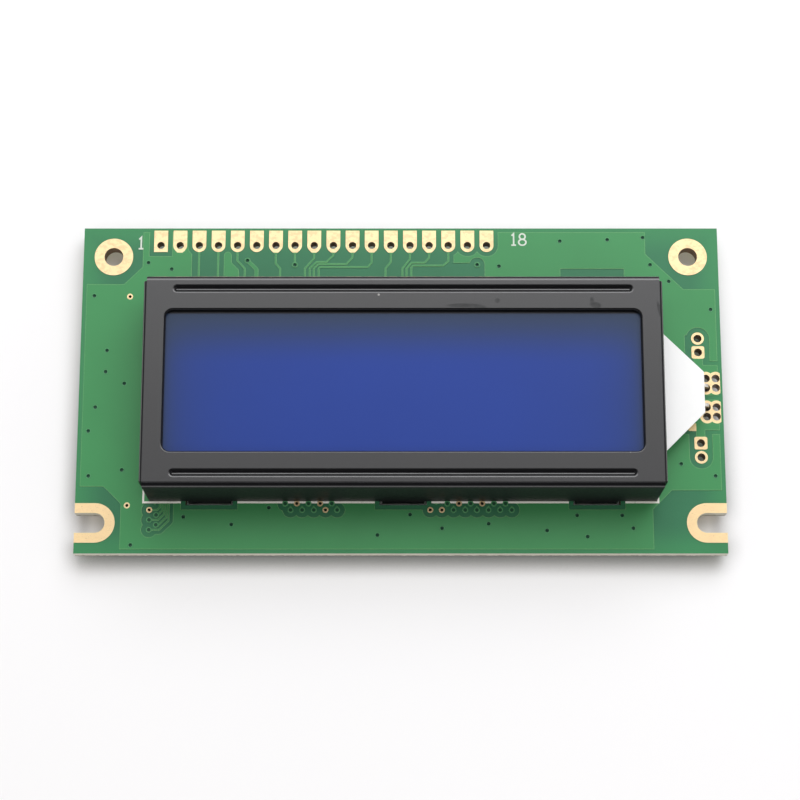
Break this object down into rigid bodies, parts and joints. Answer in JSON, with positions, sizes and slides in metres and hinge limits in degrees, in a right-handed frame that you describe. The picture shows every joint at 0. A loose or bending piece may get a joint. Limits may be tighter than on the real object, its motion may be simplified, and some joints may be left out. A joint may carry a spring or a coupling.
{
  "type": "graphic lcd module",
  "caption": "Flat display module: a blue screen in a folded black metal bezel on a green circuit board, with a row of gold header holes, screw holes and a white backlight tab.",
  "frame": {"origin": "middle of the surface that the module lies on, face up", "axes": "+X along the board, +Y to the header row, +Z out of the display"},
  "size_m": [0.084, 0.044, 0.0116],
  "materials": {
    "board": "glass-fibre board under green solder mask",
    "masked_copper": "copper under green solder mask",
    "gold": "thin gold plating",
    "print": "white ink",
    "bezel": "satin black paint on steel",
    "screen": "blue film, slightly frosted",
    "glass": "clear",
    "seal": "cured resin",
    "rear_film": "polarising film",
    "elastomer": "layered conductive rubber",
    "diffuser": "milky film",
    "acrylic": "clear moulded acrylic",
    "white_film": "white reflecting film",
    "housing": "white moulded plastic",
    "lamp": "white lamp with yellow phosphor",
    "lead": "tinned",
    "solder": "bright solder",
    "silicon": "bare chip",
    "epoxy": "cured black epoxy",
    "resistor": "glazed black",
    "capacitor": "fired brown"
  },
  "bodies": {
    "root": {"circuit_board": "board", "front_copper": "masked_copper", "rear_copper": "masked_copper", "header_pads": "gold", "mounting_pads": "gold", "backlight_pads": "gold", "ringed_vias": "gold", "contact_fingers": "gold", "board_print": "print", "bezel": "bezel", "front_polariser": "screen", "front_glass": "glass", "cell_seal": "seal", "rear_glass": "glass", "rear_polariser": "rear_film", "front_zebra_strip": "elastomer", "back_zebra_strip": "elastomer", "diffuser_sheet": "diffuser", "light_guide": "acrylic", "reflector_sheet": "white_film", "backlight_housing": "housing", "tab_film": "white_film", "backlight_led": "lamp", "led_leads": "lead", "solder_joints": "solder", "driver_chips": "silicon", "left_driver_blob": "epoxy", "right_driver_blob": "epoxy", "chip_resistors": "resistor", "chip_capacitors": "capacitor"}
  },
  "joints": []
}
